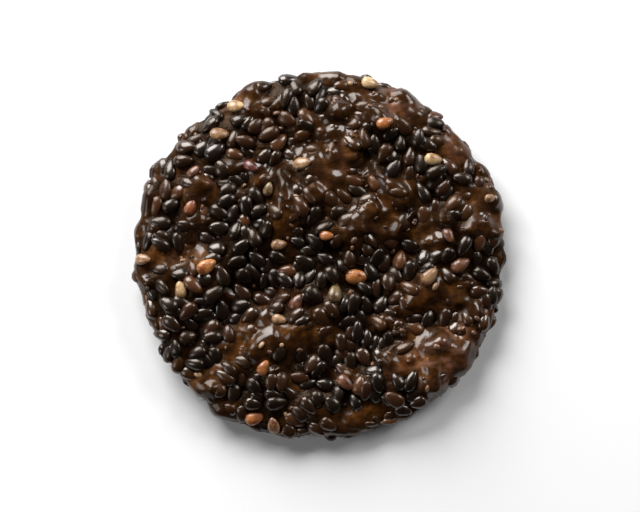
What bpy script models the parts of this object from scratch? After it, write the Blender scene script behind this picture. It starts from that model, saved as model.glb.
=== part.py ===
"""A round brown rice cracker with black sesame seeds baked into both faces, as one solid.

Blender 4.5, metres, +Z up. It lies flat with its better face up. The origin is in the middle of the
round, on the surface that the cracker rests on.
"""

import math

import bmesh
import bpy
import numpy as np
from mathutils import Matrix

# Lengths are written in millimetres and turned into metres as the meshes are made
MM = 0.001

# Driving dimensions of the dough round
ROUND_RADIUS = 27.2
DOUGH_THICKNESS = 3.4
RIM_SQUARENESS = 9.0
BASE_HEIGHT = 2.55
RELIEF_FADE = 12.0

# The round is hand pressed: waves round the rim as (waves per turn, height, where the first crest is)
RIM_WAVES = (
    (2, 0.16, 8.0),
    (4, 0.12, -27.0),
    (5, 0.18, 20.0),
    (8, 0.08, 19.0),
    (11, 0.12, -13.0),
    (17, 0.10, 5.0),
    (29, 0.10, 2.0),
)

# The whole sheet is a little wavy: (wavelength, direction of travel, phase, height)
SHEET_WAVES = ((46.0, 128.0, 20.0, 0.30), (31.0, 38.0, 75.0, 0.20))

# Fine lumps of rice grain size all over: (wavelength, direction, phase), all of one height
GRAIN_HEIGHT = 0.14
GRAIN_WAVES = ((6.1, 12.0, 40.0), (4.7, 71.0, 200.0), (5.3, 118.0, 310.0), (4.1, 163.0, 95.0))

# Blisters that rose in the oven on the upper face, and hollows between them:
# (x, y, half length, half width, direction, rise)
UPPER_PUFFS = (
    (-0.6, 22.0, 5.0, 3.6, 10.0, 0.9),
    (-14.4, 16.8, 5.0, 3.6, 40.0, 0.8),
    (-2.6, 8.6, 7.4, 3.4, 42.0, 1.5),
    (2.4, 3.4, 4.4, 3.0, 35.0, 1.0),
    (-19.8, 9.4, 5.2, 3.6, 60.0, 0.8),
    (-11.7, 7.6, 3.6, 3.0, 30.0, 0.6),
    (-14.6, -1.2, 6.6, 3.0, 36.0, 1.1),
    (-20.2, -6.6, 4.6, 3.0, 30.0, 0.9),
    (-0.8, -8.2, 5.4, 3.8, 52.0, 1.5),
    (-6.2, -12.6, 6.0, 3.2, 46.0, 1.1),
    (-7.4, -18.2, 3.6, 3.0, 0.0, 0.6),
    (17.6, 13.8, 5.0, 3.0, 130.0, 0.9),
    (20.6, 5.6, 5.0, 3.2, 80.0, 1.0),
    (21.6, -2.0, 3.8, 2.6, 95.0, 0.7),
    (8.8, -19.2, 7.0, 2.8, 14.0, 1.0),
    (18.6, -15.6, 5.4, 3.2, 44.0, 1.3),
    (-1.6, -22.4, 4.4, 2.6, 8.0, 0.8),
    (5.4, 17.0, 5.8, 2.5, 58.0, 0.8),
    (11.6, 19.0, 3.6, 2.6, 140.0, 0.5),
    (15.2, -4.2, 6.6, 2.4, 50.0, 0.7),
    (10.6, 9.4, 4.6, 2.8, 48.0, 0.6),
    (-3.2, 15.2, 4.2, 2.8, 5.0, -0.8),
    (11.4, -0.6, 6.0, 3.4, 68.0, -1.0),
    (17.4, -9.6, 4.4, 3.6, 40.0, -1.1),
    (-9.6, -6.4, 4.6, 2.8, 30.0, -0.8),
    (-18.4, 2.4, 3.8, 2.4, 36.0, -0.6),
    (6.8, -14.4, 5.4, 3.0, 40.0, -0.8),
    (3.6, 11.2, 4.4, 2.2, 58.0, -0.7),
)

# The face that lay on the baking wire has flatter blisters, set out on a sunflower spiral
UNDER_PUFF_COUNT = 17
UNDER_PUFF_SIZE = (4.6, 3.0)
UNDER_PUFF_RISE = 0.55
SPIRAL_REACH = 0.9
GOLDEN_ANGLE = 137.508

# Smooth places on the upper face, where the dough shows between the seeds:
# (x, y, half length, half width, direction)
BARE_PATCHES = (
    (2.6, 12.8, 4.6, 2.4, 68.0),
    (8.1, 5.4, 4.0, 2.4, 20.0),
    (24.4, 6.2, 2.6, 2.2, 80.0),
    (18.4, -14.8, 4.6, 2.6, 40.0),
    (12.5, -16.6, 3.0, 1.7, 20.0),
    (-17.2, -18.0, 2.8, 1.8, 50.0),
    (16.8, -5.7, 3.4, 2.2, 20.0),
    (6.9, -23.3, 4.6, 1.8, 12.0),
    (-3.0, -12.0, 3.5, 1.6, 0.0),
    (-22.2, 0.2, 3.2, 1.6, 10.0),
    (-10.9, -13.6, 3.0, 1.8, 0.0),
    (11.7, 22.4, 3.2, 1.6, 155.0),
    (-11.7, 22.8, 2.6, 1.4, 30.0),
    (20.0, 15.7, 2.6, 1.6, 135.0),
    (15.6, 2.6, 2.4, 2.0, 60.0),
    (-5.3, 5.0, 2.4, 1.4, 80.0),
    (-17.6, 9.7, 2.0, 1.4, 45.0),
)

# Sesame seeds: the first of the scatter are the largest, and few stand up across the rim
SEED_COUNT = 150
SEED_LENGTH = (3.5, 3.2)
SEED_WIDTH_SHARE = 0.64
SEED_THICKNESS_SHARE = 0.40
SEED_POINTEDNESS = 0.30
SEED_STANDS_OUT = 0.20
SEED_SUNK_AT_RIM = 0.30
UPRIGHT_PENALTY = 0.6
SEED_TILT = 14.0
SEED_SIDES = 5
SEED_RINGS = 4
SEED_SPINE = (-0.3, 0.0, 0.3)
SCATTER_TRIES = 48
SCATTER_SEED = 5
PATCH_PENALTY = 0.1

# The dough starts as a ball of even squares, and normals are read a little way to each side
BALL_CUTS = 16
PROBE = 0.01
WELD_DISTANCE = 0.05

DOUGH_COLOUR = (0.045, 0.022, 0.012, 1.0)
DOUGH_ROUGHNESS = 0.42


def sunflower(index, count):
    """The index-th of count evenly spread places on the round, in millimetres."""
    reach = SPIRAL_REACH * ROUND_RADIUS * math.sqrt((index + 0.5) / count)
    angle = math.radians(GOLDEN_ANGLE * index)
    return reach * math.cos(angle), reach * math.sin(angle)


def under_puffs():
    """The blisters of the lower face, in the form of UPPER_PUFFS: every third one is a hollow."""
    half_length, half_width = UNDER_PUFF_SIZE
    for index in range(UNDER_PUFF_COUNT):
        x, y = sunflower(index, UNDER_PUFF_COUNT)
        rise = -UNDER_PUFF_RISE if index % 3 == 2 else UNDER_PUFF_RISE
        yield x, y, half_length, half_width, GOLDEN_ANGLE * index * 2, rise


def oval_reach(x, y, middle_x, middle_y, half_length, half_width, direction):
    """How far out of an oval (x, y) lies: 0 in its middle and 1 on its edge, squared."""
    turn = math.radians(direction)
    along = (x - middle_x) * math.cos(turn) + (y - middle_y) * math.sin(turn)
    across = (y - middle_y) * math.cos(turn) - (x - middle_x) * math.sin(turn)
    return (along / half_length) ** 2 + (across / half_width) ** 2


def relief(x, y, puffs):
    """The height that the puffs add at (x, y): each is a bell with an oval foot."""
    return sum(rise * np.exp(-oval_reach(x, y, *foot)) for *foot, rise in puffs)


def wave(x, y, wavelength, direction, phase):
    """A straight wave of height 1 over the sheet, travelling in the direction given."""
    turn = math.radians(direction)
    travel = x * math.cos(turn) + y * math.sin(turn)
    return np.sin(2 * math.pi * travel / wavelength + math.radians(phase))


def grain(x, y):
    """The lumps that whole rice grains make in the surface: a few short waves that cross."""
    return GRAIN_HEIGHT * sum(wave(x, y, *shape) for shape in GRAIN_WAVES)


def rim_radius(angle):
    """The outline's radius at an angle in radians: the round plus its waves."""
    radius = np.full_like(angle, ROUND_RADIUS)
    for waves, height, crest in RIM_WAVES:
        radius += height * np.cos(waves * (angle - math.radians(crest)))
    return radius


def sheet_height(x, y):
    """How far the middle of the sheet lies above or below its mean level."""
    return sum(height * wave(x, y, *shape) for *shape, height in SHEET_WAVES)


def crust(directions):
    """The dough's surface, in millimetres, seen from its middle along each unit direction.

    A direction's height gives the share of the radius by Lambert's equal-area rule, so even directions
    are even on both faces, and the section from face to face is a squared-off oval.
    """
    x_part, y_part, up = directions.T
    angle = np.arctan2(y_part, x_part)
    share = np.sqrt(1 - np.abs(up))
    radius = share * rim_radius(angle)
    x = radius * np.cos(angle)
    y = radius * np.sin(angle)
    half = 0.5 * DOUGH_THICKNESS * np.sqrt(1 - share**RIM_SQUARENESS)
    fade = 1 - share**RELIEF_FADE
    upper = half + fade * (relief(x, y, UPPER_PUFFS) + grain(x, y))
    lower = -half - fade * (relief(x, y, list(under_puffs())) + grain(y, -x))
    z = BASE_HEIGHT + sheet_height(x, y) + np.where(up >= 0, upper, lower)
    return np.column_stack((x, y, z))


def unit(vectors):
    """The vectors at length 1."""
    return vectors / np.linalg.norm(vectors, axis=-1, keepdims=True)


def crust_normals(directions):
    """Outward normals of the crust, from its points a little way along two tangents."""
    away = np.where(np.abs(directions[:, 2:]) < 0.9, (0.0, 0.0, 1.0), (1.0, 0.0, 0.0))
    first = unit(np.cross(away, directions))
    second = np.cross(directions, first)
    sides = [
        crust(unit(directions + PROBE * step)) - crust(unit(directions - PROBE * step))
        for step in (first, second)
    ]
    return unit(np.cross(*sides))


def on_bare_patch(points):
    """True for the points of the upper face that lie on a smooth place."""
    x, y, z = points.T
    nearest = np.min([oval_reach(x, y, *oval) for oval in BARE_PATCHES], axis=0)
    return (nearest < 1) & (z > BASE_HEIGHT)


def lying_axes(normals, turns):
    """Unit vectors along the crust, turned from the part's X direction by the angles in radians."""
    forward = unit(np.cross(normals, (1.0, 0.0, 0.0)) + 1e-9)
    sideways = np.cross(forward, normals)
    return sideways * np.cos(turns)[:, None] + forward * np.sin(turns)[:, None]


def scatter(count):
    """Every seed as (middle, normal, axis, tilt angles, length), in millimetres and radians.

    Each seed has a group of random tries of its own. The one that is taken has its spine furthest from
    the spines of the seeds before it, so they are spread evenly, and the smooth places stay bare.
    """
    draw = np.random.default_rng(SCATTER_SEED)
    every = count * SCATTER_TRIES
    directions = unit(draw.normal(size=(every, 3)))
    centres, normals = crust(directions), crust_normals(directions)
    axes = lying_axes(normals, draw.uniform(0, 2 * math.pi, every))
    tilts = np.radians(draw.uniform(-SEED_TILT, SEED_TILT, (every, 2)))
    lengths = np.repeat(np.linspace(*SEED_LENGTH, count), SCATTER_TRIES)
    steps = np.array(SEED_SPINE)[:, None] * axes[:, None] * lengths[:, None, None]
    spines = centres[:, None] + steps
    liking = np.where(on_bare_patch(centres), PATCH_PENALTY, 1.0)
    liking *= 1 - UPRIGHT_PENALTY * np.abs(axes[:, 2])
    placed = np.full((1, 3), 4 * ROUND_RADIUS)
    for start in range(0, every, SCATTER_TRIES):
        group = slice(start, start + SCATTER_TRIES)
        gaps = np.linalg.norm(spines[group, :, None] - placed, axis=-1).min(axis=(1, 2))
        best = start + int(np.argmax(gaps * liking[group]))
        placed = np.vstack((placed, spines[best]))
        yield centres[best], normals[best], axes[best], tilts[best], lengths[best]


def lit_material(name, colour, roughness):
    """A Principled material of one colour."""
    material = bpy.data.materials.new(name)
    material.use_nodes = True
    shader = material.node_tree.nodes["Principled BSDF"]
    shader.inputs["Base Color"].default_value = colour
    shader.inputs["Roughness"].default_value = roughness
    shader.inputs["Metallic"].default_value = 0.0
    return material


def linked(name, mesh, collection):
    """A new object in the collection."""
    thing = bpy.data.objects.new(name, mesh)
    collection.objects.link(thing)
    return thing


def new_collection(name):
    """A new collection in the scene."""
    collection = bpy.data.collections.new(name)
    bpy.context.scene.collection.children.link(collection)
    return collection


def make_dough(collection):
    """The dough round: a cube of even squares, rounded to a ball, then moved out to the crust.

    Taking the tangent of each corner's place keeps the squares even on the ball.
    """
    mesh = bpy.data.meshes.new("cracker")
    shape = bmesh.new()
    bmesh.ops.create_cube(shape, size=2.0)
    bmesh.ops.subdivide_edges(shape, edges=shape.edges, cuts=BALL_CUTS, use_grid_fill=True)
    bmesh.ops.triangulate(shape, faces=shape.faces)
    shape.to_mesh(mesh)
    shape.free()
    corners = np.empty(len(mesh.vertices) * 3, np.float32)
    mesh.vertices.foreach_get("co", corners)
    directions = unit(np.tan(corners.reshape(-1, 3) * math.pi / 4).astype(float))
    mesh.vertices.foreach_set("co", (crust(directions) * MM).astype(np.float32).ravel())
    mesh.materials.append(lit_material("baked_dough", DOUGH_COLOUR, DOUGH_ROUGHNESS))
    return linked("cracker", mesh, collection)


def seed_mesh():
    """A sesame seed of length 1 along X: a flattened ball that narrows to a point at one end."""
    mesh = bpy.data.meshes.new("seed")
    shape = bmesh.new()
    bmesh.ops.create_uvsphere(
        shape,
        u_segments=SEED_SIDES,
        v_segments=SEED_RINGS,
        radius=0.5,
        matrix=Matrix.Rotation(math.pi / 2, 4, "Y"),
    )
    for corner in shape.verts:
        narrow = 1 - SEED_POINTEDNESS * 2 * corner.co.x
        corner.co.y *= SEED_WIDTH_SHARE * narrow
        corner.co.z *= SEED_THICKNESS_SHARE * narrow
    bmesh.ops.recalc_face_normals(shape, faces=shape.faces)
    shape.to_mesh(mesh)
    shape.free()
    return mesh


def make_seeds(collection):
    """The seeds, each lying on the crust with its long side along it, a little tipped."""
    mesh = seed_mesh()
    for index, (centre, normal, axis, tilt, length) in enumerate(scatter(SEED_COUNT)):
        side = np.cross(normal, axis)
        lying = Matrix((axis, side, normal)).transposed().to_4x4()
        tipped = Matrix.Rotation(tilt[0], 4, "X") @ Matrix.Rotation(tilt[1], 4, "Y")
        stands_out = SEED_STANDS_OUT * abs(normal[2]) - SEED_SUNK_AT_RIM * (1 - abs(normal[2]))
        place = Matrix.Translation((centre + normal * stands_out) * MM)
        seed = linked(f"seed_{index:03d}", mesh, collection)
        seed.matrix_world = place @ lying @ tipped @ Matrix.Scale(length * MM, 4)


def make_table_cutter(collection):
    """A slab whose top is the surface that the cracker lies on."""
    size = 4 * ROUND_RADIUS * MM
    mesh = bpy.data.meshes.new("table")
    shape = bmesh.new()
    bmesh.ops.create_cube(shape, size=size, matrix=Matrix.Translation((0, 0, -size / 2)))
    shape.to_mesh(mesh)
    shape.free()
    slab = linked("table", mesh, collection)
    slab.hide_render = True
    slab.display_type = "WIRE"
    return slab


def apply_boolean(thing, operation, **operand):
    """Applies one Boolean modifier to the object."""
    modifier = thing.modifiers.new(operation.lower(), "BOOLEAN")
    modifier.operation = operation
    for setting, value in operand.items():
        setattr(modifier, setting, value)
    bpy.context.view_layer.update()
    evaluated = thing.evaluated_get(bpy.context.evaluated_depsgraph_get())
    thing.data = bpy.data.meshes.new_from_object(evaluated)
    thing.modifiers.clear()


def weld_short_edges(shape):
    """Joins the two ends of each very short edge where the skin stays closed.

    It stays closed when the two ends have only two neighbours in common, one in each of the edge's faces.
    """
    for edge in list(shape.edges):
        if not edge.is_valid or edge.calc_length() > WELD_DISTANCE * MM:
            continue
        first, second = ({side.other_vert(end) for side in end.link_edges} for end in edge.verts)
        if len(first & second) == 2:
            bmesh.ops.pointmerge(shape, verts=edge.verts, merge_co=edge.verts[0].co)


def keep_outer_skin(thing):
    """Drops every loose shell but the largest, the sealed hollows and scraps, and welds its short edges."""
    shape = bmesh.new()
    shape.from_mesh(thing.data)
    waiting = set(shape.verts)
    shells = []
    while waiting:
        shell = {waiting.pop()}
        front = set(shell)
        while front:
            front = {edge.other_vert(v) for v in front for edge in v.link_edges} - shell
            shell |= front
        waiting -= shell
        shells.append(shell)
    shells.sort(key=len)
    for shell in shells[:-1]:
        bmesh.ops.delete(shape, geom=list(shell), context="VERTS")
    bmesh.ops.triangulate(shape, faces=shape.faces)
    weld_short_edges(shape)
    shape.to_mesh(thing.data)
    shape.free()


def empty_out(collection):
    """Removes the collection and what is in it."""
    for thing in list(collection.objects):
        bpy.data.objects.remove(thing)
    bpy.data.collections.remove(collection)


def build_cracker():
    """The dough with its seeds fused on, levelled where it touches the table."""
    for thing in list(bpy.data.objects):
        bpy.data.objects.remove(thing)
    parts = new_collection("rice_cracker")
    toppings = new_collection("sesame_seeds")
    cutters = new_collection("cutters")
    cracker = make_dough(parts)
    make_seeds(toppings)
    apply_boolean(cracker, "UNION", operand_type="COLLECTION", collection=toppings)
    empty_out(toppings)
    apply_boolean(cracker, "DIFFERENCE", object=make_table_cutter(cutters))
    empty_out(cutters)
    keep_outer_skin(cracker)


build_cracker()
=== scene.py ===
import math

import bpy
import numpy as np
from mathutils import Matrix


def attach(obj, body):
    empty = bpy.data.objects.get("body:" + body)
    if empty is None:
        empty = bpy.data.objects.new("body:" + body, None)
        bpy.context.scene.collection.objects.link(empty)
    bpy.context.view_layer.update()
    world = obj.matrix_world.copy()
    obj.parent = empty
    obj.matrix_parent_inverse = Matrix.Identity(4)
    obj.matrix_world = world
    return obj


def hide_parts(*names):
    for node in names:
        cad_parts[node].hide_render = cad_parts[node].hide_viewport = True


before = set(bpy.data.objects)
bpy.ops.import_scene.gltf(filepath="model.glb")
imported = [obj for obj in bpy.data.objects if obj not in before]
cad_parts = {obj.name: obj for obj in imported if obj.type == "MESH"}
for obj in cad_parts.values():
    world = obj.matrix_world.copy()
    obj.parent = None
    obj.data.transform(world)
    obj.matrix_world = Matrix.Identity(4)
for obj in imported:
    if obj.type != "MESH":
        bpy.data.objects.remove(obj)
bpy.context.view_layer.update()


# The dough round: brown rice steamed, pounded and pressed flat by hand, then baked on a wire until it
# blisters, and brushed with soy glaze. It is one skin all round, with smooth bare places between seeds.

# Lengths are in millimetres, and made metres as the meshes are made
MM = 0.001
ROUND_RADIUS = 27.2
DOUGH_THICKNESS = 3.4
RIM_SQUARENESS = 9.0
BASE_HEIGHT = 2.55
RELIEF_FADE = 12.0

# Waves round the rim: (waves per turn, height, where the first crest is)
RIM_WAVES = (
    (2, 0.16, 8.0),
    (4, 0.12, -27.0),
    (5, 0.18, 20.0),
    (8, 0.08, 19.0),
    (11, 0.12, -13.0),
    (17, 0.10, 5.0),
    (29, 0.10, 2.0),
)

# Long waves of the whole sheet as (wavelength, direction, phase, height), and short ones of its grains
SHEET_WAVES = ((46.0, 128.0, 20.0, 0.30), (31.0, 38.0, 75.0, 0.20))
GRAIN_HEIGHT = 0.14
GRAIN_WAVES = ((6.1, 12.0, 40.0), (4.7, 71.0, 200.0), (5.3, 118.0, 310.0), (4.1, 163.0, 95.0))

# Blisters and hollows of the upper face: (x, y, half length, half width, direction, rise)
UPPER_PUFFS = (
    (-0.6, 22.0, 5.0, 3.6, 10.0, 0.9),
    (-14.4, 16.8, 5.0, 3.6, 40.0, 0.8),
    (-2.6, 8.6, 7.4, 3.4, 42.0, 1.5),
    (2.4, 3.4, 4.4, 3.0, 35.0, 1.0),
    (-19.8, 9.4, 5.2, 3.6, 60.0, 0.8),
    (-11.7, 7.6, 3.6, 3.0, 30.0, 0.6),
    (-14.6, -1.2, 6.6, 3.0, 36.0, 1.1),
    (-20.2, -6.6, 4.6, 3.0, 30.0, 0.9),
    (-0.8, -8.2, 5.4, 3.8, 52.0, 1.5),
    (-6.2, -12.6, 6.0, 3.2, 46.0, 1.1),
    (-7.4, -18.2, 3.6, 3.0, 0.0, 0.6),
    (17.6, 13.8, 5.0, 3.0, 130.0, 0.9),
    (20.6, 5.6, 5.0, 3.2, 80.0, 1.0),
    (21.6, -2.0, 3.8, 2.6, 95.0, 0.7),
    (8.8, -19.2, 7.0, 2.8, 14.0, 1.0),
    (18.6, -15.6, 5.4, 3.2, 44.0, 1.3),
    (-1.6, -22.4, 4.4, 2.6, 8.0, 0.8),
    (5.4, 17.0, 5.8, 2.5, 58.0, 0.8),
    (11.6, 19.0, 3.6, 2.6, 140.0, 0.5),
    (15.2, -4.2, 6.6, 2.4, 50.0, 0.7),
    (10.6, 9.4, 4.6, 2.8, 48.0, 0.6),
    (-3.2, 15.2, 4.2, 2.8, 5.0, -0.8),
    (11.4, -0.6, 6.0, 3.4, 68.0, -1.0),
    (17.4, -9.6, 4.4, 3.6, 40.0, -1.1),
    (-9.6, -6.4, 4.6, 2.8, 30.0, -0.8),
    (-18.4, 2.4, 3.8, 2.4, 36.0, -0.6),
    (6.8, -14.4, 5.4, 3.0, 40.0, -0.8),
    (3.6, 11.2, 4.4, 2.2, 58.0, -0.7),
)

# The lower face has flatter blisters of one size, on a sunflower spiral
UNDER_PUFF_COUNT = 17
UNDER_PUFF_SIZE = (4.6, 3.0)
UNDER_PUFF_RISE = 0.55
SPIRAL_REACH = 0.9
GOLDEN_ANGLE = 137.508

# Smooth places without seeds: (x, y, half length, half width, direction, paleness of the thin skin and of
# its painted highlight streaks)
BARE_PATCHES = (
    (2.6, 12.8, 4.6, 2.4, 68.0, 0.2),
    (8.1, 5.4, 4.0, 2.4, 20.0, 0.0),
    (24.4, 6.2, 2.6, 2.2, 80.0, 0.3),
    (18.4, -14.8, 4.6, 2.6, 40.0, 1.0),
    (12.5, -16.6, 3.0, 1.7, 20.0, 0.2),
    (-17.2, -18.0, 2.8, 1.8, 50.0, 0.0),
    (16.8, -5.7, 3.4, 2.2, 20.0, 0.0),
    (6.9, -23.3, 4.6, 1.8, 12.0, 0.0),
    (-3.0, -12.0, 3.5, 1.6, 0.0, 0.0),
    (-22.2, 0.2, 3.2, 1.6, 10.0, 0.2),
    (-10.9, -13.6, 3.0, 1.8, 0.0, 0.0),
    (11.7, 22.4, 3.2, 1.6, 155.0, 0.5),
    (-11.7, 22.8, 2.6, 1.4, 30.0, 0.2),
    (20.0, 15.7, 2.6, 1.6, 135.0, 0.5),
    (15.6, 2.6, 2.4, 2.0, 60.0, 0.0),
    (-5.3, 5.0, 2.4, 1.4, 80.0, 0.0),
    (-17.6, 9.7, 2.0, 1.4, 45.0, 0.9),
)
PATCH_SOFTNESS = 0.35
PATCH_EDGE_LUMPS = (1.6, PATCH_SOFTNESS, 21)

# Thick glaze and dough that drape over the seeds, on and round the smooth places and here and there
DRAPE_LUMPS = ((4.4, 0.75, 31), (1.9, 0.60, 32))
DRAPE_PULL = 1.1
DRAPE_REACH = 2.0
RIM_PULL = 0.35
RIM_BAND = (0.93, 0.99)
DRAPE_LEVELS = (0.05, 0.75)
WARM_DRAPE = 0.45
WARM_REACH = 1.5
GLOSSY_DRAPE = (0.35, 0.85)

# Random lumps as (size, height, seed): the larger ones carry the seeds, the smaller ones are the dough's
SWELLS = ((3.6, 0.34, 14), (2.2, 0.20, 15))
LUMPS = ((1.3, 0.12, 12), (0.62, 0.045, 13))
LATTICE = 32

# The dough sinks between the seeds, less where it drapes over them, and stays clear of the table
SUNK_BETWEEN_SEEDS = 0.22
SUNK_SPARED = 0.7
DOUGH_LOWEST = 0.08

# The dough starts as a ball of even squares. Normals are read a little way to each side, along tangents
# that start square to Z, or square to X where a direction is steeper than this
DOUGH_SQUARES = 128
PROBE = 0.01
STEEP = 0.9

# Seeds and rice grains under the skin where the dough drapes over them
BUMP_TRIES = 2100
BUMP_UNDER_DRAPE = 0.4
BUMP_RADIUS = (0.75, 1.5)
BUMP_SHARE = 0.30
BUMP_END = 3
BUMP_DARK = (0.22, 0.60)
BUMP_SEED = 5

# The skin's clouds, wet patches, wrinkles and pores, by the size of one of them
CLOUD_SIZE = 3.2
FINE_CLOUD_SIZE = 0.8
WET_PATCH_SIZE = 5.0
WET_LEVELS = (0.38, 0.62)
WRINKLE_SIZE = 1.3
WRINKLE_TURN = 48.0
WRINKLE_STRETCH = 2.4
WRINKLE_HEIGHT = 0.7
PORE_SIZE = 0.5
PORE_HEIGHT = 0.45
PORES_GLAZED_OVER = 0.30
SKIN_DEPTH = 0.26

# Linear colours: dough under seeds, bare dough, dough over a buried seed, and thin blistered skin, whose
# pale colour is partly a painted highlight
BROWN = (
    (0.30, (0.0036, 0.0012, 0.0003, 1.0)),
    (0.52, (0.0110, 0.0038, 0.0008, 1.0)),
    (0.72, (0.0340, 0.0120, 0.0024, 1.0)),
)
AMBER = (
    (0.32, (0.027, 0.0088, 0.0017, 1.0)),
    (0.50, (0.080, 0.0272, 0.0052, 1.0)),
    (0.68, (0.196, 0.0740, 0.0170, 1.0)),
)
BURIED_SEED = (0.0070, 0.0026, 0.0010, 1.0)
PALE_SKIN_AND_GLINT = (0.27, 0.120, 0.080, 1.0)
DOUGH_GLINT = (1.0, 0.75, 0.54, 1.0)

# How much of the mix each may reach, and the wrinkles between which the thin skin turns pale in painted
# highlight streaks
BURIED_SEED_SHARE = 0.6
PALE_SKIN_AND_GLINT_SHARE = 0.8
PAINTED_GLINT_STREAKS = (0.44, 0.62)


def unit(vectors):
    """The vectors at length 1."""
    return vectors / np.linalg.norm(vectors, axis=-1, keepdims=True)


def oval_reach(x, y, middle_x, middle_y, half_length, half_width, direction):
    """How far out of an oval (x, y) lies: 0 in its middle and 1 on its edge, squared."""
    turn = math.radians(direction)
    along = (x - middle_x) * math.cos(turn) + (y - middle_y) * math.sin(turn)
    across = (y - middle_y) * math.cos(turn) - (x - middle_x) * math.sin(turn)
    return (along / half_length) ** 2 + (across / half_width) ** 2


def relief(x, y, puffs):
    """The height that the puffs add at (x, y): each is a bell, rise times e to the minus reach."""
    return sum(rise * np.exp(-oval_reach(x, y, *foot)) for *foot, rise in puffs)


def under_puffs():
    """The blisters of the lower face on a sunflower spiral: every third one is a hollow."""
    for index in range(UNDER_PUFF_COUNT):
        reach = SPIRAL_REACH * ROUND_RADIUS * math.sqrt((index + 0.5) / UNDER_PUFF_COUNT)
        angle = math.radians(GOLDEN_ANGLE * index)
        rise = -UNDER_PUFF_RISE if index % 3 == 2 else UNDER_PUFF_RISE
        place = (reach * math.cos(angle), reach * math.sin(angle))
        yield *place, *UNDER_PUFF_SIZE, GOLDEN_ANGLE * index * 2, rise


def wave(x, y, wavelength, direction, phase):
    """A straight sine wave of height 1 over the sheet, travelling in the direction given."""
    turn = math.radians(direction)
    travel = x * math.cos(turn) + y * math.sin(turn)
    return np.sin(2 * math.pi * travel / wavelength + math.radians(phase))


def grain(x, y):
    """The lumps of whole rice grains: a few short sine waves that cross, all of one height."""
    return GRAIN_HEIGHT * sum(wave(x, y, *shape) for shape in GRAIN_WAVES)


def rim_radius(angle):
    """The outline's radius at an angle: the round's radius plus a cosine for each rim wave."""
    turned = [height * np.cos(waves * (angle - math.radians(crest))) for waves, height, crest in RIM_WAVES]
    return ROUND_RADIUS + sum(turned)


def crust(directions):
    """The dough's surface in millimetres, seen from its middle along each unit direction.

    The share of the radius is the root of 1 minus the direction's steepness. Half the thickness falls
    off as the root of 1 minus the share to the power of the rim's squareness, and the relief fades
    with it. The whole sheet rides on two long waves.
    """
    x_part, y_part, up = directions.T
    angle = np.arctan2(y_part, x_part)
    share = np.sqrt(1 - np.abs(up))
    radius = share * rim_radius(angle)
    x = radius * np.cos(angle)
    y = radius * np.sin(angle)
    half = 0.5 * DOUGH_THICKNESS * np.sqrt(1 - share**RIM_SQUARENESS)
    fade = 1 - share**RELIEF_FADE
    upper = half + fade * (relief(x, y, UPPER_PUFFS) + grain(x, y))
    lower = -half - fade * (relief(x, y, list(under_puffs())) + grain(y, -x))
    sheet = sum(height * wave(x, y, *shape) for *shape, height in SHEET_WAVES)
    return np.column_stack((x, y, BASE_HEIGHT + sheet + np.where(up >= 0, upper, lower)))


def crust_normals(directions):
    """Outward normals of the crust: the cross product of short steps along two tangents."""
    away = np.where(np.abs(directions[:, 2:]) < STEEP, (0.0, 0.0, 1.0), (1.0, 0.0, 0.0))
    first = unit(np.cross(away, directions))
    second = np.cross(directions, first)
    sides = [
        crust(unit(directions + PROBE * step)) - crust(unit(directions - PROBE * step))
        for step in (first, second)
    ]
    return unit(np.cross(*sides))


def lattice_ball(squares):
    """Unit directions and quads of a ball made of the six square grids of a cube's faces.

    A corner is a whole-number place on the cube, shared by the grids that meet there, and the tangent
    of its place keeps the squares even on the ball.
    """
    steps = np.arange(squares + 1)
    first, second = np.meshgrid(steps, steps, indexing="ij")
    grids = []
    for axis in range(3):
        for end in (0, squares):
            pair = (first, second) if end else (second, first)
            grid = np.empty((squares + 1, squares + 1, 3), int)
            grid[..., axis] = end
            grid[..., (axis + 1) % 3], grid[..., (axis + 2) % 3] = pair
            grids.append(grid)
    places, index = np.unique(np.reshape(grids, (-1, 3)), axis=0, return_inverse=True)
    index = index.reshape(6, squares + 1, squares + 1)
    corners = (index[:, :-1, :-1], index[:, 1:, :-1], index[:, 1:, 1:], index[:, :-1, 1:])
    quads = np.stack(corners, axis=-1).reshape(-1, 4)
    return unit(np.tan((places / squares * 2 - 1) * math.pi / 4)), quads


def lumps(points, size, height, seed):
    """Smooth random heights, up or down.

    They are random values on a cube lattice of the size given, blended between its corners by a smooth
    step, 3t squared minus 2t cubed.
    """
    table = np.random.default_rng(seed).uniform(-height, height, (LATTICE,) * 3)
    low = np.floor(points / size).astype(int)
    part = points / size - low
    part = part * part * (3 - 2 * part)
    total = np.zeros(len(points))
    for corner in np.ndindex(2, 2, 2):
        weight = np.prod(np.where(corner, part, 1 - part), axis=1)
        total += weight * table[tuple(((low + corner) % LATTICE).T)]
    return total


def swell(points, normals):
    """The heights of the larger lumps, full where the upper face is level, none at the rim and below."""
    return sum(lumps(points, *shape) for shape in SWELLS) * normals[:, 2].clip(0)


def smooth_step(values, low, high):
    """0 below low, 1 above high, and 3t squared minus 2t cubed between them."""
    level = np.clip((values - low) / (high - low), 0, 1)
    return level * level * (3 - 2 * level)


def patch_reach(points):
    """The reach out of the nearest smooth place, 1 on its edge, and far out on the lower face."""
    x, y, z = points.T
    nearest = np.min([oval_reach(x, y, *oval) for *oval, paleness in BARE_PATCHES], axis=0)
    return np.where(z > BASE_HEIGHT, nearest, ROUND_RADIUS)


def pale_skin_and_painted_glint(points):
    """How pale the blistered skin is, partly its own paler colour and partly a painted highlight: on each
    smooth place its paleness times e to the minus reach.
    """
    x, y, z = points.T
    pale = sum(paleness * np.exp(-oval_reach(x, y, *oval)) for *oval, paleness in BARE_PATCHES)
    return np.where(z > BASE_HEIGHT, pale, 0.0)


def bareness(points):
    """1 on the smooth places and 0 where seeds lie, with an uneven soft edge."""
    reach = patch_reach(points) + lumps(points, *PATCH_EDGE_LUMPS)
    return 1 - smooth_step(reach, 1 - PATCH_SOFTNESS, 1 + PATCH_SOFTNESS)


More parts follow.
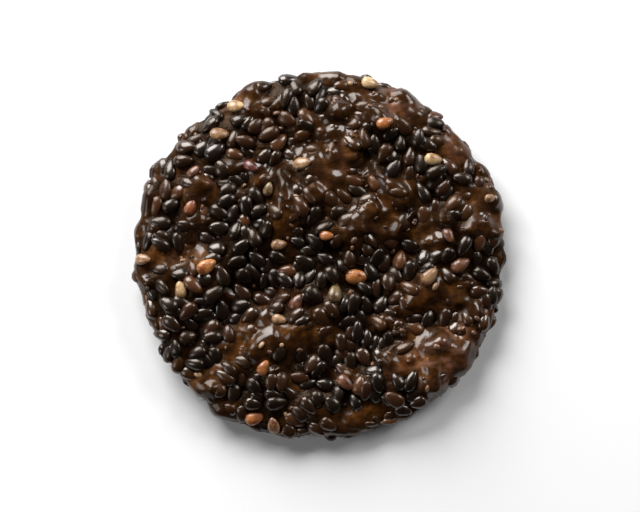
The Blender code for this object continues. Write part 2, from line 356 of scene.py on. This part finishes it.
def drape(points):
    """How thickly glaze and dough lie over the seeds, 0 to 1: random lumps, helped by patches and rim."""
    pull = DRAPE_PULL * np.exp(-patch_reach(points) / DRAPE_REACH)
    pull += RIM_PULL * smooth_step(np.hypot(*points.T[:2]) / ROUND_RADIUS, *RIM_BAND)
    return smooth_step(pull + sum(lumps(points, *shape) for shape in DRAPE_LUMPS), *DRAPE_LEVELS)


def heaped(points, centres, radii, share):
    """The sum of round bells at each point.

    Each adds a share of its radius times e to the minus squared distance over squared radius.
    """
    total = np.zeros(len(points))
    for centre, radius in zip(centres, radii):
        near = np.flatnonzero(np.abs(points - centre).max(axis=1) < BUMP_END * radius)
        distance = ((points[near] - centre) ** 2).sum(axis=1)
        total[near] += share * radius * np.exp(-distance / radius**2)
    return total


def quad_mesh(name, points, quads, lowest=0.0):
    """A smooth closed mesh object from arrays of points in millimetres and quads.

    It is flat where it would reach below the lowest height, so that it lies on the table.
    """
    level = points.copy()
    level[:, 2] = level[:, 2].clip(lowest)
    mesh = bpy.data.meshes.new(name)
    mesh.vertices.add(len(level))
    mesh.vertices.foreach_set("co", (level * MM).astype(np.float32).ravel())
    mesh.loops.add(quads.size)
    mesh.loops.foreach_set("vertex_index", quads.astype(np.int32).ravel())
    mesh.polygons.add(len(quads))
    mesh.polygons.foreach_set("loop_start", np.arange(0, quads.size, 4, dtype=np.int32))
    mesh.polygons.foreach_set("use_smooth", np.ones(len(quads), bool))
    mesh.update(calc_edges=True)
    mesh.validate()
    thing = bpy.data.objects.new(name, mesh)
    bpy.context.scene.collection.objects.link(thing)
    return thing


def mark(thing, name, values):
    """Stores one number for each point of the mesh."""
    layer = thing.data.attributes.new(name, "FLOAT", "POINT")
    layer.data.foreach_set("value", values.astype(np.float32))


class Knob:
    """A shader socket inside a sum: each operator adds the Math node that does it."""

    def __init__(self, finish, socket):
        self.finish = finish
        self.socket = socket

    def maths(self, operation, first, second):
        """The result of a Math node's operation on the first and the second."""
        return self.finish.node("ShaderNodeMath", {"operation": operation}, {0: first, 1: second})

    def __add__(self, other):
        return self.maths("ADD", self, other)

    def __radd__(self, other):
        return self.maths("ADD", other, self)

    def __sub__(self, other):
        return self.maths("SUBTRACT", self, other)

    def __rsub__(self, other):
        return self.maths("SUBTRACT", other, self)

    def __mul__(self, other):
        return self.maths("MULTIPLY", self, other)

    def __rmul__(self, other):
        return self.maths("MULTIPLY", other, self)


class Finish:
    """A material with one Principled shader, built up node by node."""

    def __init__(self, name):
        self.material = bpy.data.materials.new(name)
        self.material.use_nodes = True
        self.tree = self.material.node_tree
        self.shader = self.tree.nodes["Principled BSDF"]

    def set(self, node, place, value):
        """Gives a socket a value, or a link where the value is a knob."""
        if isinstance(value, Knob):
            self.tree.links.new(value.socket, node.inputs[place])
        else:
            node.inputs[place].default_value = value

    def node(self, kind, settings, inputs, output=0):
        """Adds a node of a kind: its settings or ramp stops first, then its sockets."""
        node = self.tree.nodes.new(kind)
        for setting, value in settings.items():
            if setting == "stops":
                ramp = node.color_ramp.elements
                while len(ramp) < len(value):
                    ramp.new(0.5)
                for stop, (position, colour) in zip(ramp, value):
                    stop.position = position
                    stop.color = colour
            else:
                setattr(node, setting, value)
        for place, value in inputs.items():
            self.set(node, place, value)
        return Knob(self, node.outputs[output])

    def noise(self, size, detail=2.0, turn=0.0, stretch=1.0, lift=0.0):
        """Cloudy noise from 0 to 1 on the object, with patches of a size in millimetres.

        They can be stretched along a direction that is turned from X, and lifted to another place.
        """
        place = self.node("ShaderNodeTexCoord", {}, {}, "Object")
        sockets = {
            "Vector": place,
            "Location": (lift, lift, lift),
            "Rotation": (0.0, 0.0, -math.radians(turn)),
            "Scale": (1 / stretch, 1.0, 1.0),
        }
        moved = self.node("ShaderNodeMapping", {}, sockets)
        return self.node(
            "ShaderNodeTexNoise", {}, {"Vector": moved, "Scale": 1 / (size * MM), "Detail": detail}, "Fac"
        )

    def ramp(self, factor, stops):
        """A value from 0 to 1 turned into colours by stops, each a position and a colour."""
        return self.node("ShaderNodeValToRGB", {"stops": stops}, {"Fac": factor}, "Color")

    def level(self, factor, low, high):
        """0 below low, 1 above high and a straight slope between them."""
        sockets = {"Value": factor, "From Min": low, "From Max": high}
        return self.node("ShaderNodeMapRange", {"clamp": True}, sockets, "Result")

    def wetness(self):
        """How wet the glaze lies, from 0 to 1, in patches that are the same on every material."""
        return self.level(self.noise(WET_PATCH_SIZE, lift=0.03), *WET_LEVELS)

    def blend(self, factor, first, second, kind="MIX"):
        """A colour between the first and the second, or their product for the kind MULTIPLY."""
        settings = {"data_type": "RGBA", "blend_type": kind}
        return self.node("ShaderNodeMix", settings, {0: factor, 6: first, 7: second}, 2)

    def mark(self, name, output="Fac"):
        """A number or, for the output Color, a colour that the mesh stores for each point."""
        return self.node("ShaderNodeAttribute", {"attribute_name": name}, {}, output)

    def bump(self, height, depth):
        """A normal that a height from 0 to 1 tilts, with its full depth in millimetres."""
        return self.node("ShaderNodeBump", {}, {"Height": height, "Distance": depth * MM}, "Normal")

    def finish(self, thing, **sockets):
        """Sets the shader's sockets, by names with _ for a space, and gives the thing the material."""
        for socket, value in sockets.items():
            self.set(self.shader, socket.replace("_", " "), value)
        thing.data.materials.clear()
        thing.data.materials.append(self.material)


def rise_of(points, normals, bumps):
    """How high the dough lies over the crust: its lumps and bumps, less what it sinks between seeds."""
    uneven = swell(points, normals) + sum(lumps(points, *shape) for shape in LUMPS)
    return uneven + bumps - SUNK_BETWEEN_SEEDS * (1 - SUNK_SPARED * drape(points))


dough_directions, dough_quads = lattice_ball(DOUGH_SQUARES)
skin = crust(dough_directions)
skin_normals = crust_normals(dough_directions)
bump_draw = np.random.default_rng(BUMP_SEED)
bump_centres = crust(unit(bump_draw.normal(size=(BUMP_TRIES, 3))))
bump_centres = bump_centres[drape(bump_centres) > BUMP_UNDER_DRAPE]
bump_radii = bump_draw.uniform(*BUMP_RADIUS, len(bump_centres))
bumps = heaped(skin, bump_centres, bump_radii, BUMP_SHARE)
risen = skin + skin_normals * rise_of(skin, skin_normals, bumps)[:, None]
dough = quad_mesh("dough", risen, dough_quads, DOUGH_LOWEST)
mark(dough, "bare", bareness(skin))
mark(dough, "gloss", smooth_step(drape(skin), *GLOSSY_DRAPE))
mark(dough, "warm", WARM_DRAPE * drape(skin) + (1 - WARM_DRAPE) * np.exp(-patch_reach(skin) / WARM_REACH))
mark(dough, "dark", smooth_step(bumps, *BUMP_DARK))
# Paleness of the thin skin on the smooth places, partly its own colour and partly a painted highlight
mark(dough, "thin", pale_skin_and_painted_glint(skin))

glazed = Finish("glazed_dough")
bare_mark = glazed.mark("bare")
gloss = glazed.mark("gloss")
clouds = glazed.noise(CLOUD_SIZE, detail=3.0)
fine_clouds = glazed.noise(FINE_CLOUD_SIZE, detail=3.0, lift=0.02)
brown = glazed.ramp(clouds * 0.6 + fine_clouds * 0.4, BROWN)
amber = glazed.ramp(fine_clouds * 0.5 + clouds * 0.5, AMBER)
wrinkles = glazed.noise(WRINKLE_SIZE, detail=3.0, turn=WRINKLE_TURN, stretch=WRINKLE_STRETCH)
pores = glazed.noise(PORE_SIZE, detail=4.0, lift=0.01) * (PORE_HEIGHT - gloss * PORES_GLAZED_OVER)
# Pale streaks along the wrinkles of the smooth places: partly paler thin skin, partly a painted highlight
thin = glazed.mark("thin") * glazed.level(wrinkles, *PAINTED_GLINT_STREAKS) * PALE_SKIN_AND_GLINT_SHARE
skin_colour = glazed.blend(thin, glazed.blend(glazed.mark("warm"), brown, amber), PALE_SKIN_AND_GLINT)
glazed.finish(
    dough,
    Base_Color=glazed.blend(glazed.mark("dark") * BURIED_SEED_SHARE, skin_colour, BURIED_SEED),
    Roughness=0.24 + fine_clouds * 0.12,
    Specular_IOR_Level=0.12,
    Specular_Tint=DOUGH_GLINT,
    Coat_Weight=gloss * (0.30 + glazed.wetness() * 0.60),
    Coat_Roughness=0.18,
    Normal=glazed.bump(pores + wrinkles * WRINKLE_HEIGHT * bare_mark, SKIN_DEPTH),
)
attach(dough, "root")
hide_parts("cracker")


# Pale seeds: unhulled or toasted sesame among the black, from straw to red-brown, flat and pear-shaped.
# They lie on the upper face where they stand out, pressed halfway into the dough and partly glazed.

# Every seed's shape, as shares of its length
SEED_WIDTH_SHARE = 0.64
SEED_THICKNESS_SHARE = 0.40
SEED_POINTEDNESS = 0.30
SEED_SPINE = (-0.3, 0.0, 0.3)
SEED_SQUARES = 3

# How high the pale seeds lie, more so where dough is draped, and their tilt in radians
PALE_STANDS_OUT = 0.20
PALE_LIFT = 0.15
PALE_TILT = 0.22
PALE_SEED = 9

# Added to a direction along the crust, so that one is left where the crust faces along X
TINY = 1e-9

# Browned patches on a pale hull, and the fine grain of every seed's hull
BROWNED_SIZE = 1.2
BROWNED_LEVELS = (0.42, 0.66)
HULL_GRAIN_SIZE = 0.35
PALE_GRAIN_DEPTH = 0.07

# Linear hull colours, and what browning in the oven makes of each by multiplying it
BROWNING = (0.36, 0.22, 0.14, 1.0)
STRAW = (0.50, 0.34, 0.17, 1.0)
TAN = (0.32, 0.185, 0.090, 1.0)
HONEY = (0.42, 0.165, 0.048, 1.0)
ORANGE = (0.33, 0.115, 0.030, 1.0)
BRICK = (0.20, 0.060, 0.022, 1.0)
TOAST = (0.13, 0.050, 0.022, 1.0)
OLIVE = (0.16, 0.105, 0.045, 1.0)
RED = (0.11, 0.026, 0.018, 1.0)

# (x, y, lying direction, length, tone)
PALE_SEEDS = (
    (5.5, -3.1, 0.0, 3.6, HONEY),
    (-16.8, -1.5, 30.0, 3.3, HONEY),
    (16.2, -2.9, 45.0, 3.2, TAN),
    (2.2, -5.5, 80.0, 3.2, OLIVE),
    (20.8, -1.3, 30.0, 3.2, TOAST),
    (-2.4, 13.4, 5.0, 3.0, TAN),
    (-14.9, 18.1, 5.0, 3.0, TAN),
    (-3.4, -6.9, 55.0, 3.0, TOAST),
    (-9.7, -24.1, 15.0, 3.0, ORANGE),
    (3.8, -18.8, -40.0, 3.0, TOAST),
    (-12.3, 22.1, 0.0, 2.8, STRAW),
    (7.4, 25.3, -5.0, 2.8, STRAW),
    (16.8, 14.3, -5.0, 2.8, STRAW),
    (-19.2, 7.2, 70.0, 2.8, BRICK),
    (-20.6, -5.0, 100.0, 2.8, STRAW),
    (-6.9, -25.0, 100.0, 2.8, TAN),
    (9.7, 19.6, 20.0, 2.7, ORANGE),
    (-10.1, 13.2, -30.0, 2.6, RED),
    (-6.1, 1.7, 10.0, 2.6, TAN),
    (-26.0, -0.5, 0.0, 2.6, TAN),
    (-8.5, -16.4, 60.0, 2.6, ORANGE),
    (19.0, 3.0, -60.0, 2.6, TOAST),
    (-5.9, -9.5, -20.0, 2.4, TAN),
    (-18.6, 12.3, 40.0, 2.4, TOAST),
    (-7.6, 9.9, 75.0, 2.3, OLIVE),
    (1.0, 3.0, 0.0, 2.2, ORANGE),
    (24.6, 8.6, 0.0, 2.0, TAN),
)


def direction_above(x, y):
    """The unit direction that the crust takes to the place (x, y) on the upper face.

    Its height is 1 minus the square of the place's share of the outline's radius.
    """
    angle = np.arctan2(y, x)
    share = np.minimum(np.hypot(x, y) / rim_radius(angle), 1.0)
    up = 1 - share**2
    level = np.sqrt(1 - up**2)
    return np.column_stack((level * np.cos(angle), level * np.sin(angle), up))


def lying_axes(normals, turns):
    """Unit vectors along the crust, turned from the X direction by the angles in radians."""
    forward = unit(np.cross(normals, (1.0, 0.0, 0.0)) + TINY)
    sideways = np.cross(forward, normals)
    return sideways * np.cos(turns)[:, None] + forward * np.sin(turns)[:, None]


def spine_points(centres, axes, lengths):
    """Three points along the middle line of each seed."""
    return centres[:, None] + np.array(SEED_SPINE)[:, None] * axes[:, None] * lengths[:, None, None]


def pear():
    """A flattened ball of length 1 along X whose width and thickness narrow towards its tip."""
    directions, quads = lattice_ball(SEED_SQUARES)
    shape = directions * 0.5
    narrow = 1 - SEED_POINTEDNESS * 2 * shape[:, 0]
    shape[:, 1] *= SEED_WIDTH_SHARE * narrow
    shape[:, 2] *= SEED_THICKNESS_SHARE * narrow
    return shape, quads


def laid_down(shape, centres, normals, axes, tilts, sizes):
    """The shape's points at each place: stretched, tipped about Y and X, then laid along the axis."""
    x, y, z = np.moveaxis(shape[None] * sizes[:, None], -1, 0)
    roll, pitch = tilts.T[:, :, None]
    x, z = x * np.cos(pitch) + z * np.sin(pitch), z * np.cos(pitch) - x * np.sin(pitch)
    y, z = y * np.cos(roll) - z * np.sin(roll), z * np.cos(roll) + y * np.sin(roll)
    frames = (axes, np.cross(normals, axes), normals)
    moved = sum(part[..., None] * frame_axis[:, None] for part, frame_axis in zip((x, y, z), frames))
    return centres[:, None] + moved


def joined(name, points, quads):
    """One object from the points of many like shapes: (shape, point, xyz)."""
    count, corners = points.shape[:2]
    every = quads[None] + (np.arange(count) * corners)[:, None, None]
    return quad_mesh(name, points.reshape(-1, 3), every.reshape(-1, 4))


def raised(centres, normals, levels):
    """The places at levels above the crust, or below it, carried by the larger lumps."""
    return centres + normals * (levels + swell(centres, normals))[:, None]


pear_shape, pear_quads = pear()
pale_x, pale_y, pale_turns, pale_lengths = np.array([row[:4] for row in PALE_SEEDS]).T
pale_directions = direction_above(pale_x, pale_y)
pale_centres, pale_normals = crust(pale_directions), crust_normals(pale_directions)
pale_axes = lying_axes(pale_normals, np.radians(pale_turns))
pale_levels = PALE_STANDS_OUT + PALE_LIFT * drape(pale_centres)
pale_levels += heaped(pale_centres, bump_centres, bump_radii, BUMP_SHARE)
pale_places = raised(pale_centres, pale_normals, pale_levels)
pale_tilts = np.random.default_rng(PALE_SEED).uniform(-PALE_TILT, PALE_TILT, (len(pale_x), 2))
pale_sizes = pale_lengths[:, None] * np.ones(3)
pale_points = laid_down(pear_shape, pale_places, pale_normals, pale_axes, pale_tilts, pale_sizes)
pale_sesame = joined("pale_sesame", pale_points, pear_quads)
tones = np.repeat([row[4] for row in PALE_SEEDS], len(pear_shape), axis=0)
tone_layer = pale_sesame.data.attributes.new("tone", "FLOAT_COLOR", "POINT")
tone_layer.data.foreach_set("color", tones.astype(np.float32).ravel())

toasted = Finish("toasted_hull")
browned = toasted.level(toasted.noise(BROWNED_SIZE, detail=3.0), *BROWNED_LEVELS)
toasted.finish(
    pale_sesame,
    Base_Color=toasted.blend(browned, toasted.mark("tone", "Color"), BROWNING, "MULTIPLY"),
    Roughness=0.34,
    Coat_Weight=0.3,
    Coat_Roughness=0.15,
    Normal=toasted.bump(toasted.noise(HULL_GRAIN_SIZE, detail=3.0), PALE_GRAIN_DEPTH),
)
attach(pale_sesame, "root")


# Black sesame: unhulled seeds 3 to 3.5 mm long, kneaded into the dough and rolled onto it. The largest
# lie where the solid has them. The others fill the gaps, ever deeper, half sunk and filmed with glaze.

# The seeds that the solid has: lengths from first to last, levels over the crust, tilt in degrees
FUSED_SEEDS = 150
SEED_LENGTH = (3.5, 3.2)
SEED_STANDS_OUT = 0.20
SEED_SUNK_AT_RIM = 0.30
SEED_TILT = 14.0
UPRIGHT_PENALTY = 0.6
SCATTER_TRIES = 48
SCATTER_SEED = 5
PATCH_PENALTY = 0.1

# The seeds between them, and how near to a pale one each kind may come
FILLER_SEEDS = 760
FILLER_LENGTH = (3.4, 3.0)
FILLER_TRIES = 26
FILLER_TILT = (18.0, 12.0)
FILLER_LEVEL = (0.30, -0.34)
FILLER_SUNK_AT_RIM = 0.72
FILLER_SUNK_UNDER_DRAPE = 0.24
FILLER_DRAW = 34
FUSED_CLEARANCE = 1.7
FILLER_CLEARANCE = 1.35
SEED_UNEVENNESS = 0.12

# A random share turned into how thickly a seed is glazed: half of them little, a fifth all over
SEED_SHINE = ((0.0, 0.5, 0.8, 1.0), (0.10, 0.45, 1.0, 1.0))
HULLS = (
    (0.0, (0.0050, 0.0026, 0.0013, 1.0)),
    (0.72, (0.0100, 0.0046, 0.0020, 1.0)),
    (0.91, (0.0340, 0.0115, 0.0042, 1.0)),
    (1.0, (0.0900, 0.0330, 0.0110, 1.0)),
)
GLAZE_FILM = (0.036, 0.0122, 0.0026, 1.0)
HULL_GLINT = (1.0, 0.84, 0.71, 1.0)
FILM_CLOUD_SIZE = 1.6
FILM_STRENGTH = 1.5
BLACK_GRAIN_DEPTH = 0.04


def spread(spines, liking, tries, placed):
    """The index of the best try in each group of tries.

    The best has the largest distance from its spine to the spines placed before it, times its liking.
    """
    best = []
    for start in range(0, len(spines), tries):
        group = spines[start : start + tries].reshape(-1, 3)
        squares = (group**2).sum(axis=1)[:, None] + (placed**2).sum(axis=1) - 2 * group @ placed.T
        gaps = np.sqrt(squares.min(axis=1).reshape(tries, -1).min(axis=1).clip(0))
        best.append(start + int(np.argmax(gaps * liking[start : start + tries])))
        placed = np.vstack((placed, spines[best[-1]]))
    return np.array(best)


def lay_seeds(draw, count, tries, length_range, tilt, placed):
    """Middles, normals, axes, tilts and lengths of seeds that keep away from the spines placed before."""
    every = count * tries
    directions = unit(draw.normal(size=(every, 3)))
    centres, normals = crust(directions), crust_normals(directions)
    axes = lying_axes(normals, draw.uniform(0, 2 * math.pi, every))
    tilts = np.radians(draw.uniform(-1, 1, (every, 2)) * tilt)
    lengths = np.repeat(np.linspace(*length_range, count), tries)
    liking = np.where(patch_reach(centres) < 1, PATCH_PENALTY, 1.0)
    liking *= 1 - UPRIGHT_PENALTY * np.abs(axes[:, 2])
    best = spread(spine_points(centres, axes, lengths), liking, tries, placed)
    return [field[best] for field in (centres, normals, axes, tilts, lengths)]


def clear_of_pale(seeds, clearance):
    """The seeds whose middles keep the clearance from the middles of the pale ones."""
    gaps = np.linalg.norm(seeds[0][:, None] - pale_centres, axis=2).min(axis=1)
    return [field[gaps > clearance] for field in seeds]


# The first seed keeps away from one point far off the round
nowhere = np.full((1, 3), 4 * ROUND_RADIUS)
scatter_draw = np.random.default_rng(SCATTER_SEED)
fused = lay_seeds(scatter_draw, FUSED_SEEDS, SCATTER_TRIES, SEED_LENGTH, SEED_TILT, nowhere)
fused = clear_of_pale(fused, FUSED_CLEARANCE)
spines = [spine_points(fused[0], fused[2], fused[4]), spine_points(pale_centres, pale_axes, pale_lengths)]
taken = np.concatenate(spines).reshape(-1, 3)

filler_draw = np.random.default_rng(FILLER_DRAW)
fillers = lay_seeds(filler_draw, FILLER_SEEDS, FILLER_TRIES, FILLER_LENGTH, FILLER_TILT, taken)
seeded = patch_reach(fillers[0]) > 1
fillers = clear_of_pale([field[seeded] for field in fillers], FILLER_CLEARANCE)


def level_in(seeds, on_face, sunk_at_rim):
    """The levels of seeds: on the face where it is level, and sunk where the rim falls away."""
    steepness = np.abs(seeds[1][:, 2])
    return on_face * steepness - sunk_at_rim * (1 - steepness)


filler_levels = np.linspace(*FILLER_LEVEL, len(fillers[0]))
filler_levels = level_in(fillers, filler_levels, FILLER_SUNK_AT_RIM)
filler_levels -= FILLER_SUNK_UNDER_DRAPE * drape(fillers[0])
black_levels = np.append(level_in(fused, SEED_STANDS_OUT, SEED_SUNK_AT_RIM), filler_levels)
centres, normals, axes, tilts, lengths = [np.concatenate(pair) for pair in zip(fused, fillers)]
uneven = 1 + SEED_UNEVENNESS * filler_draw.uniform(-1, 1, (len(centres), 3))
black_places = raised(centres, normals, black_levels)
black_points = laid_down(pear_shape, black_places, normals, axes, tilts, lengths[:, None] * uneven)
black_sesame = joined("black_sesame", black_points, pear_quads)
mark(black_sesame, "shade", np.repeat(filler_draw.uniform(0, 1, len(centres)), len(pear_shape)))
mark(black_sesame, "film", np.repeat(drape(centres), len(pear_shape)))
shine = np.interp(filler_draw.uniform(0, 1, len(centres)), *SEED_SHINE)
mark(black_sesame, "shine", np.repeat(shine, len(pear_shape)))

hull = Finish("black_hull")
hull_colour = hull.ramp(hull.mark("shade"), HULLS)
film_clouds = hull.noise(FILM_CLOUD_SIZE, lift=0.05)
hull.finish(
    black_sesame,
    Base_Color=hull.blend(hull.mark("film") * film_clouds * FILM_STRENGTH, hull_colour, GLAZE_FILM),
    Roughness=0.20 + film_clouds * 0.20,
    Specular_IOR_Level=0.44,
    Specular_Tint=HULL_GLINT,
    Coat_Weight=hull.mark("shine") * (0.40 + hull.wetness() * 0.60),
    Coat_Roughness=0.14,
    Normal=hull.bump(hull.noise(HULL_GRAIN_SIZE, detail=3.0), BLACK_GRAIN_DEPTH),
)
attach(black_sesame, "root")


# Rice bits: flakes of bran and broken toasted grains, 0.5 to 1.3 mm, from tan to dark brown. They stick
# in the glaze between the seeds on both faces.

BIT_COUNT = 420
BIT_LENGTH = (0.6, 1.35)
BIT_SHAPE = (1.0, 0.7, 0.45)
BIT_UNEVENNESS = (0.8, 1.2)
BIT_LEVEL = (-0.05, 0.12)
BIT_TILT = 0.5
BIT_SQUARES = 2
BIT_SEED = 61
BIT_GRAIN_SIZE = 0.3
BIT_GRAIN_DEPTH = 0.08
BRAN = (
    (0.0, (0.020, 0.008, 0.004, 1.0)),
    (0.55, (0.075, 0.030, 0.013, 1.0)),
    (0.85, (0.160, 0.070, 0.030, 1.0)),
    (1.0, (0.330, 0.200, 0.100, 1.0)),
)

bit_draw = np.random.default_rng(BIT_SEED)
bit_directions = unit(bit_draw.normal(size=(BIT_COUNT, 3)))
bit_centres, bit_normals = crust(bit_directions), crust_normals(bit_directions)
bit_axes = lying_axes(bit_normals, bit_draw.uniform(0, 2 * math.pi, BIT_COUNT))
bit_tilts = bit_draw.uniform(-BIT_TILT, BIT_TILT, (BIT_COUNT, 2))
bit_lengths = bit_draw.uniform(*BIT_LENGTH, BIT_COUNT)[:, None]
bit_sizes = bit_lengths * BIT_SHAPE * bit_draw.uniform(*BIT_UNEVENNESS, (BIT_COUNT, 3))
bit_levels = bit_draw.uniform(*BIT_LEVEL, BIT_COUNT)
bit_levels += rise_of(bit_centres, bit_normals, heaped(bit_centres, bump_centres, bump_radii, BUMP_SHARE))
bit_places = bit_centres + bit_normals * bit_levels[:, None]
bit_ball, bit_quads = lattice_ball(BIT_SQUARES)
bit_points = laid_down(bit_ball * 0.5, bit_places, bit_normals, bit_axes, bit_tilts, bit_sizes)
rice_bits = joined("rice_bits", bit_points, bit_quads)
mark(rice_bits, "shade", np.repeat(bit_draw.uniform(0, 1, BIT_COUNT), len(bit_ball)))

bran = Finish("toasted_bran")
bran.finish(
    rice_bits,
    Base_Color=bran.ramp(bran.mark("shade"), BRAN),
    Roughness=0.36,
    Coat_Weight=0.3,
    Coat_Roughness=0.15,
    Normal=bran.bump(bran.noise(BIT_GRAIN_SIZE, detail=3.0), BIT_GRAIN_DEPTH),
)
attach(rice_bits, "root")


# The stage: a plain pale floor, one large soft light low from the upper left of the picture, two weak
# ones from its sides, and a camera straight above, as the better face was seen square on.

FLOOR_HALF = 0.6
FRAME_HEIGHT = 0.0765
CAMERA_HEIGHT = 0.60
SENSOR_WIDTH = 36.0
PICTURE_SHAPE = 640 / 512
PAPER = (0.88, 0.88, 0.88, 1.0)
WORLD_LIGHT = 0.024

# Lights: (name, place in metres, side of the square, watts)
LIGHTS = (
    ("key_light", (-0.22, 0.44, 0.24), 0.42, 7.1),
    ("side_light", (0.32, 0.26, 0.24), 0.18, 1.2),
    ("fill_light", (-0.40, -0.10, 0.26), 0.20, 0.55),
)

floor_mesh = bpy.data.meshes.new("floor")
floor_corners = [(x * FLOOR_HALF, y * FLOOR_HALF, 0.0) for x, y in ((-1, -1), (1, -1), (1, 1), (-1, 1))]
floor_mesh.from_pydata(floor_corners, [], [(0, 1, 2, 3)])
floor = bpy.data.objects.new("floor", floor_mesh)
bpy.context.scene.collection.objects.link(floor)
paper = Finish("pale_paper")
paper.finish(floor, Base_Color=PAPER, Roughness=0.9)


def soft_light(name, place, size, power):
    """A square area light that faces the middle of the floor."""
    lamp = bpy.data.lights.new(name, "AREA")
    lamp.size = size
    lamp.energy = power
    light = bpy.data.objects.new(name, lamp)
    light.location = place
    direction = light.location.to_track_quat("Z", "Y")
    light.rotation_mode = "QUATERNION"
    light.rotation_quaternion = direction
    bpy.context.scene.collection.objects.link(light)


for light_row in LIGHTS:
    soft_light(*light_row)

world = bpy.data.worlds.new("studio")
world.use_nodes = True
world.node_tree.nodes["Background"].inputs["Color"].default_value = (1.0, 1.0, 1.0, 1.0)
world.node_tree.nodes["Background"].inputs["Strength"].default_value = WORLD_LIGHT
bpy.context.scene.world = world

lens = bpy.data.cameras.new("camera")
lens.sensor_width = SENSOR_WIDTH
lens.lens = SENSOR_WIDTH * CAMERA_HEIGHT / (FRAME_HEIGHT * PICTURE_SHAPE)
lens.clip_start = 0.01
camera = bpy.data.objects.new("camera", lens)
camera.location = (0.0, 0.0, CAMERA_HEIGHT)
bpy.context.scene.collection.objects.link(camera)
bpy.context.scene.camera = camera
bpy.context.scene.view_settings.view_transform = "Standard"
